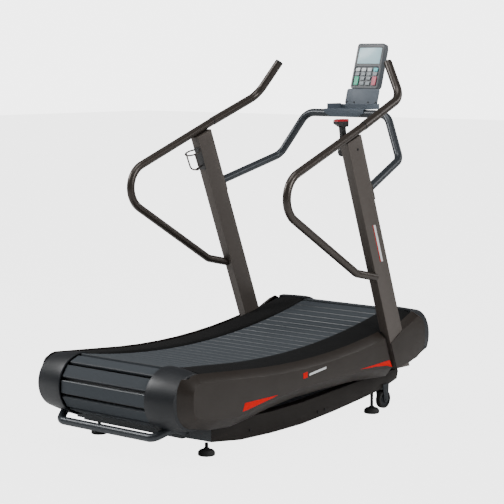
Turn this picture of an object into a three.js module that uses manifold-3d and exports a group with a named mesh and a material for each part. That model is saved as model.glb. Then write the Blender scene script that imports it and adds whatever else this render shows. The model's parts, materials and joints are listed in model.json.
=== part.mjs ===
// Curved manual treadmill.
// Units are millimetres. +X is the runner's right, +Y is forward, +Z is up.
// The origin is on the floor, under the middle of the bounding box.

import * as THREE from 'three';
import { mergeVertices } from 'three/addons/utils/BufferGeometryUtils.js';
import Module from 'manifold-3d';

const wasm = await Module();
wasm.setup();

// ---------------------------------------------------------------- driving dimensions

const GAP = 0.3;                    // left between faces that touch

// Running surface: one circular arc seen from the side.
const DECK_RADIUS = 3208;
const DECK_LOW_Y = -205;            // fore-and-aft place of the lowest point
const DECK_LOW_Z = 312;             // height of the lowest point
const DECK_CENTRE_Z = DECK_LOW_Z + DECK_RADIUS;

// Slat belt and drums.
const BELT_OUTER = 115;             // outer radius of the belt where it runs round a drum
const BELT_THICKNESS = 12;
const BELT_HALF_WIDTH = 225;
const DRUM_RADIUS = 98;
const DRUM_HALF_WIDTH = 222;
const REAR_DRUM_Y = -736;
const REAR_DRUM_Z = 235;
const FRONT_DRUM_Y = 645;
const FRONT_DRUM_Z = 310;
const SHAFT_RADIUS = 15;

// Chassis.
const PLATE_IN = 242;
const PLATE_OUT = 248;
const BEAM_IN = 267;
const BEAM_OUT = 307;
const BEAM_REAR_Y = -574;
const BEAM_FRONT_Y = 622;

// End caps, foot rails, panels and covers.
const CAP_IN = 229;
const CAP_OUT = 366;
const CAP_RADIUS_IN = 123;
const REAR_CAP_RADIUS_OUT = 107;    // the rear caps taper outwards, the front ones hardly
const FRONT_CAP_RADIUS_OUT = 120;
const CAP_WALL = 4;
const RAIL_REAR_Y = -700;
const RAIL_FRONT_Y = 622;
const PANEL_BASE = 366;
const PANEL_FACE = 410;
const COVER_FACE = 416.5;
const SKIN = 3;

// Uprights: rectangular tube leaning back and a little outwards.
const POST_IN = 370.5;              // inner face at the foot
const POST_OUT = 411.5;             // outer face at the foot
const POST_DEPTH = 92.6;            // across the lean
const POST_SLOPE = 0.3736;          // how far back per unit of height
const POST_SPLAY = 0.0153;          // how far outwards per unit of height
const POST_FOOT_Y = 461;            // rear face at the foot
const POST_FOOT_Z = 203;
const POST_LEAN = Math.atan(POST_SLOPE);

// Handrails, horns and console bar.
const RAIL_TUBE = 16.5;
const HORN_TUBE = 18;
const BAR_TUBE = 17;
const LIFT_TUBE = 16;
const LIFT_BAR_Y = -832;
const HAND_LOW = new THREE.Vector3(406, 192, 631);
const HAND_BACK = new THREE.Vector3(424, -392, 981);
const HAND_SEAM = new THREE.Vector3(411, 223, 1225);
const HORN_BEND = new THREE.Vector3(391, 501, 1336);
const HORN_TIP = new THREE.Vector3(295, 540, 1483);
const BAR_Y = 641;
const BAR_Z = 1259;

// Console: its frame has Y up the face and Z out of the face towards the runner.
const CONSOLE_LEAN = THREE.MathUtils.degToRad(16.4);
const CONSOLE_AT = new THREE.Vector3(0, 763, 1364);
const CONSOLE_HALF_WIDTH = 75;
const CONSOLE_HEIGHT = 207;
const CONSOLE_DEPTH = 26;
const CONSOLE_BACK_DEPTH = 40;
const KEY_RECESS = 3.2;
const KEY_BOTTOM = -1.6;
const KEY_TOP = 2;

// Brake lever.
const LEVER_Y = 159;
const LEVER_Z = 1125;

// Flywheel on the left, outside the chassis plate.
const FLYWHEEL_Y = 548;
const FLYWHEEL_Z = 272;
const FLYWHEEL_RADIUS = 66;

// Floor contact.
const FOOT_X = 291.5;
const FOOT_PAD_RADIUS = 33;
const FOOT_PAD_HEIGHT = 22;
const STUD_RADIUS = 6;
const REAR_FOOT_Y = -584;
const FRONT_FOOT_Y = 453.5;
const WHEEL_Y = 531;
const WHEEL_Z = 49;
const WHEEL_RADIUS = 39;

// ---------------------------------------------------------------- finishes

const finish = (color, roughness, metalness) => (
    new THREE.MeshStandardMaterial({ color, roughness, metalness })
);

const BROWN = finish(0x46403c, 0.45, 0.4);
const BLACK_PLASTIC = finish(0x20262c, 0.45, 0.0);
const BLACK_PAINT = finish(0x23272b, 0.4, 0.3);
const SLAT_RUBBER = finish(0x2e3338, 0.6, 0.0);
const TREAD = finish(0x121315, 0.85, 0.0);
const STEEL = finish(0x9a9da0, 0.35, 0.9);
const IRON = finish(0x55585a, 0.5, 0.8);
const DRIVE_RUBBER = finish(0x141414, 0.8, 0.0);
const GREY_PLASTIC = finish(0x3a3f44, 0.5, 0.0);
const GLASS = finish(0xb9dde6, 0.15, 0.0);
const LEVER_PLASTIC = finish(0x191a1c, 0.4, 0.0);

const KEY_COLOURS = {
    white: finish(0xe6e6e6, 0.45, 0.0),
    cyan: finish(0x38a8c0, 0.45, 0.0),
    grey: finish(0x4b5358, 0.45, 0.0),
    green: finish(0x2f9a5b, 0.45, 0.0),
    red: finish(0xc8455a, 0.45, 0.0),
};

// ---------------------------------------------------------------- shape helpers

const solid = (geometry) => {
    const bare = geometry.clone();
    bare.deleteAttribute('normal');
    bare.deleteAttribute('uv');
    const merged = mergeVertices(bare, 1e-4);
    return new wasm.Manifold(new wasm.Mesh({
        numProp: 3,
        vertProperties: new Float32Array(merged.attributes.position.array),
        triVerts: new Uint32Array(merged.index.array),
    }));
};

const geometryOf = (manifold) => {
    const mesh = manifold.getMesh();
    const geometry = new THREE.BufferGeometry();
    geometry.setAttribute('position', new THREE.BufferAttribute(new Float32Array(mesh.vertProperties), 3));
    geometry.setIndex(new THREE.BufferAttribute(new Uint32Array(mesh.triVerts), 1));
    geometry.computeVertexNormals();
    return geometry;
};

const join = (first, ...others) => geometryOf(others.reduce((sum, one) => sum.add(solid(one)), solid(first)));

const cut = (body, ...tools) => (
    geometryOf(tools.reduce((rest, one) => rest.subtract(solid(one)), solid(body)))
);

// The biggest piece of a body that cutting has left in several.
const mainPiece = (geometry) => {
    const pieces = solid(geometry).decompose();
    return geometryOf(pieces.reduce((best, one) => (one.volume() > best.volume() ? one : best)));
};

const box = (x0, x1, y0, y1, z0, z1) => new THREE.BoxGeometry(x1 - x0, y1 - y0, z1 - z0)
    .translate((x0 + x1) / 2, (y0 + y1) / 2, (z0 + z1) / 2);

// A side-view outline, drawn in (y, z), carried from x0 to x1.
const SIDE_VIEW = new THREE.Matrix4().set(0, 0, 1, 0, 1, 0, 0, 0, 0, 1, 0, 0, 0, 0, 0, 1);

const outlineShape = (points) => new THREE.Shape(points.map(([y, z]) => new THREE.Vector2(y, z)));

const sidePlate = (points, x0, x1, holes = []) => {
    const shape = outlineShape(points);
    shape.holes = holes.map((hole) => new THREE.Path(hole.map(([y, z]) => new THREE.Vector2(y, z))));
    const geometry = new THREE.ExtrudeGeometry(shape, { depth: x1 - x0, bevelEnabled: false });
    return geometry.applyMatrix4(SIDE_VIEW).translate(x0, 0, 0);
};

// A side-view plate whose outer face is the outline and whose edge slopes out to a bigger base.
const bevelledPlate = (points, base, face, bevel) => {
    const geometry = new THREE.ExtrudeGeometry(outlineShape(points), {
        depth: 1,
        bevelEnabled: true,
        bevelThickness: face - base,
        bevelSize: bevel,
        bevelSegments: 1,
    });
    const doubled = geometry.applyMatrix4(SIDE_VIEW).translate(base - 1, 0, 0);
    return cut(doubled, box(base - 2 * (face - base) - 2, base, -1200, 1200, -200, 900));
};

const circle = (y, z, radius, count = 24) => Array.from({ length: count }, (_, i) => {
    const angle = (2 * Math.PI * i) / count;
    return [y + radius * Math.cos(angle), z + radius * Math.sin(angle)];
});

const arc = (y, z, radius, from, to, steps) => Array.from({ length: steps + 1 }, (_, i) => {
    const angle = from + ((to - from) * i) / steps;
    return [y + radius * Math.cos(angle), z + radius * Math.sin(angle)];
});

// A turned body about the X axis; the profile is a closed list of [x, radius] whose outer side runs +X.
const turnedX = (profile, segments = 24) => {
    const points = [...profile, profile[0]].map(([x, radius]) => new THREE.Vector2(radius, x));
    return new THREE.LatheGeometry(points, segments).rotateZ(-Math.PI / 2);
};

// A turned body about the Z axis; the profile is a list of [radius, z] from axis to axis.
const turnedZ = (profile, segments = 20) => {
    const points = profile.map(([radius, z]) => new THREE.Vector2(radius, z));
    return new THREE.LatheGeometry(points, segments).rotateX(Math.PI / 2);
};

const rodX = (x0, x1, radius, segments = 16) => new THREE.CylinderGeometry(radius, radius, x1 - x0, segments)
    .rotateZ(Math.PI / 2)
    .translate((x0 + x1) / 2, 0, 0);

// A skin between cross-sections that all have the same number of points, closed at both ends.
const loft = (rings) => {
    const count = rings[0].length;
    const positions = rings.flat().flatMap((point) => point.toArray());
    const index = [];
    for (let ring = 0; ring + 1 < rings.length; ring += 1) {
        for (let i = 0; i < count; i += 1) {
            const a = ring * count + i;
            const b = ring * count + ((i + 1) % count);
            index.push(a, b + count, b, a, a + count, b + count);
        }
    }
    const flat = rings[0].map((point) => new THREE.Vector2(point.x, point.z));
    const last = (rings.length - 1) * count;
    THREE.ShapeUtils.triangulateShape(flat, []).forEach(([a, b, c]) => {
        index.push(a, b, c);
        index.push(last + a, last + c, last + b);
    });
    const geometry = new THREE.BufferGeometry();
    geometry.setAttribute('position', new THREE.Float32BufferAttribute(positions, 3));
    geometry.setIndex(index);
    return geometry;
};

const mirrored = (geometry) => {
    const copy = mergeVertices(geometryOf(solid(geometry)));
    copy.scale(-1, 1, 1);
    const order = copy.index.array;
    for (let i = 0; i < order.length; i += 3) {
        const kept = order[i];
        order[i] = order[i + 1];
        order[i + 1] = kept;
    }
    copy.computeVertexNormals();
    return copy;
};

// A route through given points, with each inner corner rounded to its own radius.
class BentRoute extends THREE.Curve {
    constructor(corners, radii, bendSteps = 6) {
        super();
        this.stops = [corners[0]];
        for (let i = 1; i + 1 < corners.length; i += 1) {
            this.addBend(corners[i - 1], corners[i], corners[i + 1], radii[i - 1], bendSteps);
        }
        this.stops.push(corners[corners.length - 1]);
    }

    addBend(before, corner, after, radius, steps) {
        const back = before.clone().sub(corner).normalize();
        const ahead = after.clone().sub(corner).normalize();
        const half = back.angleTo(ahead) / 2;
        const inward = back.clone().add(ahead).normalize();
        const centre = corner.clone().add(inward.multiplyScalar(radius / Math.sin(half)));
        const start = corner.clone().addScaledVector(back, radius / Math.tan(half)).sub(centre);
        const axis = new THREE.Vector3().crossVectors(back, ahead).normalize();
        for (let i = 0; i <= steps; i += 1) {
            const turn = -((Math.PI - 2 * half) * i) / steps;
            this.stops.push(start.clone().applyAxisAngle(axis, turn).add(centre));
        }
    }

    getPoint(t) {
        const place = t * (this.stops.length - 1);
        const first = Math.min(Math.floor(place), this.stops.length - 2);
        return this.stops[first].clone().lerp(this.stops[first + 1], place - first);
    }

    getPointAt(u) {
        return this.getPoint(u);
    }

    getTangentAt(u) {
        const place = Math.round(u * (this.stops.length - 1));
        const before = this.stops[Math.max(place - 1, 0)];
        const after = this.stops[Math.min(place + 1, this.stops.length - 1)];
        const here = this.stops[place];
        const into = here.clone().sub(before).normalize();
        const out = after.clone().sub(here).normalize();
        return into.add(out).normalize();
    }
}

const tube = (corners, radii, radius, sides = 12, bendSteps = 6) => {
    const route = new BentRoute(corners, radii, bendSteps);
    const section = new THREE.Shape(circle(0, 0, radius, sides).map(([a, b]) => new THREE.Vector2(a, b)));
    return new THREE.ExtrudeGeometry(section, {
        steps: route.stops.length - 1,
        bevelEnabled: false,
        extrudePath: route,
    });
};

const point = (x, y, z) => new THREE.Vector3(x, y, z);

// ---------------------------------------------------------------- deck geometry

const deckZ = (y, rise = 0) => DECK_CENTRE_Z + rise - Math.sqrt(DECK_RADIUS ** 2 - (y - DECK_LOW_Y) ** 2);

// The rails and panels fall away a little from the running arc towards the rear drum.
const RAIL_DROP_FROM = -430;
const RAIL_DROP = 15;
const railZ = (y, rise = 0) => {
    const along = Math.max(0, (RAIL_DROP_FROM - y) / (RAIL_DROP_FROM - REAR_DRUM_Y));
    return deckZ(y, rise) - RAIL_DROP * along ** 2;
};

// The belt's side view, at a given depth below its outer surface, counter-clockwise.
const beltLoop = (depth) => {
    const radius = BELT_OUTER - depth;
    const rearUp = Math.atan2(DECK_CENTRE_Z - REAR_DRUM_Z, DECK_LOW_Y - REAR_DRUM_Y);
    const frontUp = Math.atan2(DECK_CENTRE_Z - FRONT_DRUM_Z, DECK_LOW_Y - FRONT_DRUM_Y);
    const lowerRun = Math.atan2(FRONT_DRUM_Z - REAR_DRUM_Z, FRONT_DRUM_Y - REAR_DRUM_Y) - Math.PI / 2;
    const top = arc(DECK_LOW_Y, DECK_CENTRE_Z, DECK_RADIUS + depth, Math.PI + rearUp, Math.PI + frontUp, 16);
    const front = arc(FRONT_DRUM_Y, FRONT_DRUM_Z, radius, frontUp, lowerRun, 7);
    const rear = arc(REAR_DRUM_Y, REAR_DRUM_Z, radius, lowerRun, rearUp - 2 * Math.PI, 7);
    return [...top, ...front.slice(1), ...rear.slice(0, -1)].reverse();
};

const slatBelt = () => sidePlate(beltLoop(0), -BELT_HALF_WIDTH, BELT_HALF_WIDTH, [beltLoop(BELT_THICKNESS)]);

const drum = (leftShaftEnd, pulley) => {
    const roller = rodX(-DRUM_HALF_WIDTH, DRUM_HALF_WIDTH, DRUM_RADIUS, 24);
    const shaft = rodX(leftShaftEnd, PLATE_OUT + 12, SHAFT_RADIUS);
    return pulley ? join(roller, shaft, pulley) : join(roller, shaft);
};

// ---------------------------------------------------------------- chassis

const BEAM_UNDERSIDE = [
    [-574, 50], [-404, 31], [-220, 28], [-30, 33], [168, 52], [375, 78], [515, 100], [612, 128],
];

const beamZ = (y) => {
    const next = BEAM_UNDERSIDE.findIndex(([place]) => place >= y);
    const [y1, z1] = BEAM_UNDERSIDE[Math.max(next, 1)];
    const [y0, z0] = BEAM_UNDERSIDE[Math.max(next, 1) - 1];
    return z0 + ((z1 - z0) * (y - y0)) / (y1 - y0);
};

const BEAM_TOPSIDE = [[612, 184], [515, 164], [375, 158], [168, 140], [-30, 122], [-220, 115], [-574, 118]];

const sideBeam = () => (
    sidePlate([...BEAM_UNDERSIDE, [BEAM_FRONT_Y, 160], ...BEAM_TOPSIDE], BEAM_IN, BEAM_OUT)
);

const MEMBER_END = BEAM_IN - GAP;

const rearCrossMember = () => {
    const rail = box(-MEMBER_END, MEMBER_END, -692, -632, 78, 118);
    const shoe = [
        [-699, 126], [-690, 84], [BEAM_REAR_Y - GAP, 52], [BEAM_REAR_Y - GAP, 116], [-640, 122], [-690, 132],
    ];
    const right = sidePlate(shoe, 252, BEAM_OUT);
    return join(rail, right, mirrored(right));
};

const frontCrossMember = () => box(-MEMBER_END, MEMBER_END, 455, 515, 105, 150);

const sidePlateChassis = () => {
    const reach = 95;
    const top = Array.from({ length: 13 }, (_, i) => {
        const y = REAR_DRUM_Y + 40 + ((FRONT_DRUM_Y - REAR_DRUM_Y - 80) * i) / 12;
        return [y, railZ(y, -26)];
    }).reverse();
    const rearEnd = arc(REAR_DRUM_Y, REAR_DRUM_Z, reach, THREE.MathUtils.degToRad(120), Math.PI * 1.5, 8);
    const frontEnd = arc(FRONT_DRUM_Y, FRONT_DRUM_Z, reach, -Math.PI / 2, THREE.MathUtils.degToRad(60), 8);
    const foot = [
        [-629, 118 + GAP], [-621, 98], [-300, 95], [200, 120], [440, 138], [454, 150 + GAP], [540, 150 + GAP],
    ];
    const holes = [
        circle(REAR_DRUM_Y, REAR_DRUM_Z, SHAFT_RADIUS + 1, 16),
        circle(FRONT_DRUM_Y, FRONT_DRUM_Z, SHAFT_RADIUS + 1, 16),
        circle(FLYWHEEL_Y, FLYWHEEL_Z, 9, 12),
    ];
    return sidePlate([...rearEnd, ...foot, ...frontEnd, ...top], PLATE_IN, PLATE_OUT, holes);
};

// ---------------------------------------------------------------- drive and brake

const FLYWHEEL_IN = 262;
const FLYWHEEL_OUT = 300;
const PULLEY_IN = 310;
const PULLEY_OUT = 324;
const DRUM_PULLEY = 45;
const FLYWHEEL_PULLEY = 15;

const flywheel = () => {
    const rim = turnedX([
        [-FLYWHEEL_OUT, FLYWHEEL_RADIUS], [-FLYWHEEL_IN, FLYWHEEL_RADIUS], [-FLYWHEEL_IN, 52],
        [-FLYWHEEL_IN - 10, 48], [-FLYWHEEL_IN - 10, 24], [-FLYWHEEL_IN, 20], [-FLYWHEEL_IN, 7],
        [-FLYWHEEL_OUT, 7], [-FLYWHEEL_OUT, 20], [-FLYWHEEL_OUT + 10, 24], [-FLYWHEEL_OUT + 10, 48],
        [-FLYWHEEL_OUT, 52],
    ], 32);
    const shaft = rodX(-PULLEY_OUT, -PLATE_IN + 6, 8, 12);
    return join(rim, shaft, rodX(-PULLEY_OUT, -PULLEY_IN, FLYWHEEL_PULLEY));
};

// The open belt round two pulleys, as an outline at a given clearance outside them.
const pulleyLoop = (clearance) => {
    const big = DRUM_PULLEY + clearance;
    const small = FLYWHEEL_PULLEY + clearance;
    const dy = FRONT_DRUM_Y - FLYWHEEL_Y;
    const dz = FRONT_DRUM_Z - FLYWHEEL_Z;
    const line = Math.atan2(dz, dy);
    const spread = Math.acos((small - big) / Math.hypot(dy, dz));
    return [
        ...arc(FRONT_DRUM_Y, FRONT_DRUM_Z, big, line - spread, line + spread, 16),
        ...arc(FLYWHEEL_Y, FLYWHEEL_Z, small, line + spread, line - spread + 2 * Math.PI, 8),
    ];
};

const driveBelt = () => sidePlate(pulleyLoop(4.5), -PULLEY_OUT, -PULLEY_IN, [pulleyLoop(1.5)]);

const YOKE_PIN = [-64, 37];         // from the flywheel's centre, in (y, z)

const magnetYoke = () => {
    const bow = (inner, outer, x0, x1) => sidePlate([
        ...arc(0, 0, outer, THREE.MathUtils.degToRad(70), THREE.MathUtils.degToRad(150), 8),
        ...arc(0, 0, inner, THREE.MathUtils.degToRad(150), THREE.MathUtils.degToRad(70), 8),
    ], x0, x1);
    const reach = FLYWHEEL_RADIUS + 11;
    const bridge = bow(reach - 4, reach, -306, -256);
    const pin = rodX(-306, -PLATE_OUT - GAP, 5, 10).translate(0, YOKE_PIN[0], YOKE_PIN[1]);
    return join(bridge, bow(46, reach, -306, -302), bow(46, reach, -260, -256), pin);
};

// ---------------------------------------------------------------- end caps and foot rails

const capShell = (outerRadius) => turnedX([
    [CAP_IN, CAP_RADIUS_IN], [CAP_OUT - GAP, outerRadius],
    [CAP_OUT - GAP, outerRadius - CAP_WALL], [CAP_IN, CAP_RADIUS_IN - CAP_WALL],
], 32);

// Bar across the rear, with legs that rise into the rear caps.
const liftTube = (radius) => {
    const side = [point(283, -690, 110), point(290, -764, 134), point(252, LIFT_BAR_Y, 101)];
    const far = side.map((one) => point(-one.x, one.y, one.z)).reverse();
    return tube([...side, ...far], [50, 40, 40, 50], radius, 12, 5);
};

const rearCap = () => cut(
    capShell(REAR_CAP_RADIUS_OUT).translate(0, REAR_DRUM_Y, REAR_DRUM_Z),
    liftTube(LIFT_TUBE + 1.5),
    box(200, 400, RAIL_REAR_Y - GAP, -500, 100, 500),
);

// Below this line the front caps are open, so that the belt can be reached.
const FRONT_CAP_SKIRT = [
    [500, 100], [900, 100], [900, 290], [765, 262], [728, 243], [673, 222], [612, 208], [500, 190],
];

const frontCap = () => cut(
    capShell(FRONT_CAP_RADIUS_OUT).translate(0, FRONT_DRUM_Y, FRONT_DRUM_Z),
    sidePlate(FRONT_CAP_SKIRT, CAP_IN - 10, CAP_OUT + 10),
    box(200, 400, 400, RAIL_FRONT_Y + GAP, 100, 500),
);

const RAIL_SECTION = [
    [231, -24], [362, -24], [362, -14], [380, -14], [380, -6],
    [368, -2], [335, 4], [280, 8], [246, 8], [231, 5],
];

const RAIL_STATIONS = 14;

const alongRail = (section, extra) => loft(Array.from({ length: RAIL_STATIONS + 1 }, (_, i) => {
    const y = RAIL_REAR_Y - extra + ((RAIL_FRONT_Y - RAIL_REAR_Y + 2 * extra) * i) / RAIL_STATIONS;
    return section.map(([x, rise]) => point(x, y, railZ(y, rise)));
}));

const footRail = () => alongRail(RAIL_SECTION, 0);

// The space that the panels and covers leave for the rail and for the foot on it.
const railClearance = () => alongRail([
    [225, -25], [361, -25], [361, -14 - GAP], [380 + GAP, -14 - GAP], [380 + GAP, 80], [225, 80],
], 110);

// ---------------------------------------------------------------- uprights

const postRearY = (z) => POST_FOOT_Y - POST_SLOPE * (z - POST_FOOT_Z);
const POST_ACROSS = POST_DEPTH / Math.cos(POST_LEAN);

const railTopSlope = (HAND_SEAM.z - HAND_BACK.z) / (HAND_SEAM.y - HAND_BACK.y);
const railUnderZ = (y) => HAND_BACK.z + railTopSlope * (y - HAND_BACK.y)
    - (RAIL_TUBE + GAP) * Math.hypot(1, railTopSlope);

// Where the sloping top cut meets a face that starts `offset` in front of the rear face.
const postTop = (offset) => {
    const reach = POST_FOOT_Y + offset + POST_SLOPE * POST_FOOT_Z;
    const level = railUnderZ(0);
    const z = (level + railTopSlope * reach) / (1 + railTopSlope * POST_SLOPE);
    return [postRearY(z) + offset, z];
};

const postOutline = (grow) => {
    const side = grow / Math.cos(POST_LEAN);
    const foot = POST_FOOT_Z - grow;
    const [rearY, rearZ] = postTop(0);
    const [frontY, frontZ] = postTop(POST_ACROSS);
    return [
        [postRearY(foot) - side, foot], [postRearY(foot) + POST_ACROSS + side, foot],
        [frontY + side, frontZ + grow], [rearY - side, rearZ + grow],
    ];
};

const POST_BRACKET = [PLATE_OUT + GAP, POST_IN + 2, 450, 476, 213, 258];

// Shifts a body outwards with height, as the uprights are.
const splayed = (geometry) => geometry.applyMatrix4(
    new THREE.Matrix4().set(1, 0, POST_SPLAY, -POST_SPLAY * POST_FOOT_Z, 0, 1, 0, 0, 0, 0, 1, 0, 0, 0, 0, 1),
);
const splayAt = (z) => POST_SPLAY * (z - POST_FOOT_Z);

const post = (grow = 0) => {
    const bar = splayed(sidePlate(postOutline(grow), POST_IN - grow, POST_OUT + grow));
    const [x0, x1, y0, y1, z0, z1] = POST_BRACKET;
    return join(bar, box(x0 - grow, x1, y0 - grow, y1 + grow, z0 - grow, z1 + grow));
};

// ---------------------------------------------------------------- panels and covers

const PANEL_TOP_DROP = -27;

const PANEL_TO_POST = 24;           // dark slot between the panel's end and the upright

const aheadOfPanel = () => sidePlate([
    [postRearY(0) - PANEL_TO_POST, 0], [900, 0], [900, 900], [postRearY(900) - PANEL_TO_POST, 900],
], 300, 500);

const behindPost = () => sidePlate([
    [postRearY(0), 0], [postRearY(900), 900], [0, 900], [0, 0],
], 300, 500);

const PANEL_UNDERSIDE = [
    [-649, 163], [-537, 157], [-431, 172], [-305, 195], [-157, 212], [37, 220], [219, 223], [520, 208],
];

const sidePanel = () => {
    const corner = 45;
    const rearY = -781;
    const topZ = railZ(rearY + corner, PANEL_TOP_DROP);
    const topEdge = Array.from({ length: 12 }, (_, i) => {
        const y = 520 - ((520 - rearY - corner - 20) * i) / 11;
        return [y, railZ(y, PANEL_TOP_DROP)];
    });
    const upperCorner = arc(rearY + corner, topZ - corner, corner, Math.PI / 2, Math.PI, 5);
    const lowerCorner = arc(rearY + corner, 181 + corner, corner, Math.PI, Math.PI * 1.4, 4);
    const outline = [...PANEL_UNDERSIDE, ...topEdge, ...upperCorner, ...lowerCorner];
    const outer = bevelledPlate(outline, PANEL_BASE, PANEL_FACE, PANEL_FACE - PANEL_BASE);
    const chamfer = PANEL_FACE - PANEL_BASE - SKIN;
    const inner = bevelledPlate(outline, PANEL_BASE - SKIN, PANEL_FACE - SKIN, chamfer);
    return cut(outer, inner, railClearance(), aheadOfPanel());
};

const COVER_OUTLINE = [
    [420, 197], [512, 214], [543, 220], [603, 234], [645, 258], [660, 290], [662, 325], [657, 370],
    [641, 397], [612, 411], [492, 359], [400, 303],
];

const frontSideCover = () => {
    const bevel = 22;
    const outer = bevelledPlate(COVER_OUTLINE, PANEL_BASE, COVER_FACE, bevel);
    const inner = bevelledPlate(COVER_OUTLINE, PANEL_BASE - SKIN, COVER_FACE - SKIN, bevel - SKIN);
    return mainPiece(cut(outer, inner, post(GAP), railClearance(), behindPost()));
};

// ---------------------------------------------------------------- handrails, horns and bars

const handrail = () => {
    const entry = point(408, 330, 604);
    const loopTube = tube([entry, HAND_LOW, HAND_BACK, HAND_SEAM], [60, 100], RAIL_TUBE, 12, 7);
    return cut(loopTube, post(GAP));
};

const horn = () => {
    const along = HAND_SEAM.clone().sub(HAND_BACK).normalize();
    const start = HAND_SEAM.clone().addScaledVector(along, 1.2);
    return tube([start, HORN_BEND, HORN_TIP], [90], HORN_TUBE, 12, 6);
};

const FLANGE_Z = 958;

const consoleBar = () => {
    const half = [point(402, 266, 965), point(328, 586, 1073), point(221, BAR_Y, BAR_Z)];
    const far = half.map((one) => point(-one.x, one.y, one.z)).reverse();
    const bar = tube([...half, ...far], [60, 70, 70, 60], BAR_TUBE, 12, 5);
    const flangeY = postRearY(FLANGE_Z) + POST_ACROSS + 3.6;
    const flange = new THREE.BoxGeometry(38, 5, 66).rotateX(POST_LEAN).translate(403, flangeY, FLANGE_Z);
    return cut(join(bar, flange, mirrored(flange)), post(GAP), mirrored(post(GAP)));
};

const liftHandle = () => cut(liftTube(LIFT_TUBE), box(-320, 320, -699 - GAP, -600, 60, 200));

// ---------------------------------------------------------------- console

const roundedPlate = (x0, x1, y0, y1, z0, z1, radius, steps = 3) => {
    const quarter = Math.PI / 2;
    const outline = [
        ...arc(x1 - radius, y0 + radius, radius, -quarter, 0, steps),
        ...arc(x1 - radius, y1 - radius, radius, 0, quarter, steps),
        ...arc(x0 + radius, y1 - radius, radius, quarter, 2 * quarter, steps),
        ...arc(x0 + radius, y0 + radius, radius, 2 * quarter, 3 * quarter, steps),
    ];
    const settings = { depth: z1 - z0, bevelEnabled: false };
    return new THREE.ExtrudeGeometry(outlineShape(outline), settings).translate(0, 0, z0);
};

const SCREEN = [-62, 62, 114, 187];
const KEYPAD = [-65, 65, 11, 99];

const consoleHousing = () => {
    const half = CONSOLE_HALF_WIDTH;
    const body = roundedPlate(-half, half, 0, CONSOLE_HEIGHT, -CONSOLE_DEPTH, 0, 12);
    const window = roundedPlate(...SCREEN.map((v, i) => v + (i % 2 ? GAP : -GAP)), -2.3, 5, 3, 2);
    return cut(body, window, roundedPlate(...KEYPAD, -KEY_RECESS, 5, 3, 2));
};

const consoleBack = () => roundedPlate(-68, 68, 8, 199, -CONSOLE_BACK_DEPTH, -CONSOLE_DEPTH - GAP, 12);

const screen = () => roundedPlate(...SCREEN, -2, -0.4, 3, 2);

const key = (halfWidth, halfHeight) => roundedPlate(
    -halfWidth, halfWidth, -halfHeight, halfHeight, KEY_BOTTOM, KEY_TOP, 2.5, 2,
);

// Key places on the console face: four columns, four rows, with a tall key at each side below.
const COLUMN = [-48.5, -16.2, 16.2, 48.5];
const ROW = [86.5, 67, 47.5, 24];
const TALL_MIDDLE = (ROW[2] + ROW[3]) / 2;

const KEYS = [
    ...COLUMN.map((x, i) => ({ x, y: ROW[0], tall: false, colour: i < 3 ? 'white' : 'cyan' })),
    ...COLUMN.map((x) => ({ x, y: ROW[1], tall: false, colour: 'grey' })),
    { x: COLUMN[0], y: TALL_MIDDLE, tall: true, colour: 'green' },
    { x: COLUMN[1], y: ROW[2], tall: false, colour: 'grey' },
    { x: COLUMN[2], y: ROW[2], tall: false, colour: 'grey' },
    { x: COLUMN[3], y: TALL_MIDDLE, tall: true, colour: 'red' },
    { x: COLUMN[1], y: ROW[3], tall: false, colour: 'grey' },
    { x: COLUMN[2], y: ROW[3], tall: false, colour: 'grey' },
];

// Bent sheet that carries the console: a foot on the tray, a wide face, and a tongue behind the console.
const consoleBracket = () => {
    const sheet = 3;
    const lower = roundedPlate(-89.5, 89.5, -72, -GAP, -sheet, 0, 10);
    const shelf = box(-50, 50, -sheet - GAP, -GAP, -CONSOLE_BACK_DEPTH - GAP - sheet, -1);
    const rear = -CONSOLE_BACK_DEPTH - GAP;
    const tongue = roundedPlate(-50, 50, -sheet - GAP, 90, rear - sheet, rear, 1);
    return join(lower, shelf, tongue);
};

// ---------------------------------------------------------------- tray

const consoleTray = () => {
    const floorZ = BAR_Z + BAR_TUBE + GAP;
    const rearY = BAR_Y - BAR_TUBE - GAP;
    const floor = box(-107, 107, rearY - 2, 738, floorZ, floorZ + 2);
    const wall = box(105, 107, 640, 738, floorZ, floorZ + 24);
    const frontWall = box(-107, 107, 736, 738, floorZ, floorZ + 20);
    const lipShape = new THREE.Shape([[-107, 22], [-107, 4], [-70, -12], [70, -12], [107, 4], [107, 22]]
        .map(([x, z]) => new THREE.Vector2(x, z - 20)));
    const lip = new THREE.ExtrudeGeometry(lipShape, { depth: 2, bevelEnabled: false })
        .rotateX(Math.PI / 2)
        .translate(0, rearY, floorZ);
    return join(floor, wall, mirrored(wall), frontWall, lip);
};

// ---------------------------------------------------------------- lever and bottle cage

const HUB_IN = 368;
const HUB_OUT = POST_IN + splayAt(LEVER_Z - 30) - GAP;

const leverHub = () => turnedX([
    [HUB_IN, 0], [HUB_IN, 25], [HUB_IN + 6, 29], [HUB_OUT, 29], [HUB_OUT, 0],
], 20).translate(0, LEVER_Y, LEVER_Z);

const leverArm = () => {
    const disc = rodX(345, HUB_IN - 0.5, 21, 20);
    const arm = box(347, 363, -4, 18, 0, 105);
    const knobProfile = [[0, -46], [9, -46], [14, -38], [14.5, 20], [12, 38], [6, 45], [0, 45]];
    const knob = new THREE.LatheGeometry(knobProfile.map(([r, y]) => new THREE.Vector2(r, y)), 14)
        .translate(355, -15, 116);
    return join(disc, arm, knob);
};

const CAGE_Z = 1108;

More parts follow.
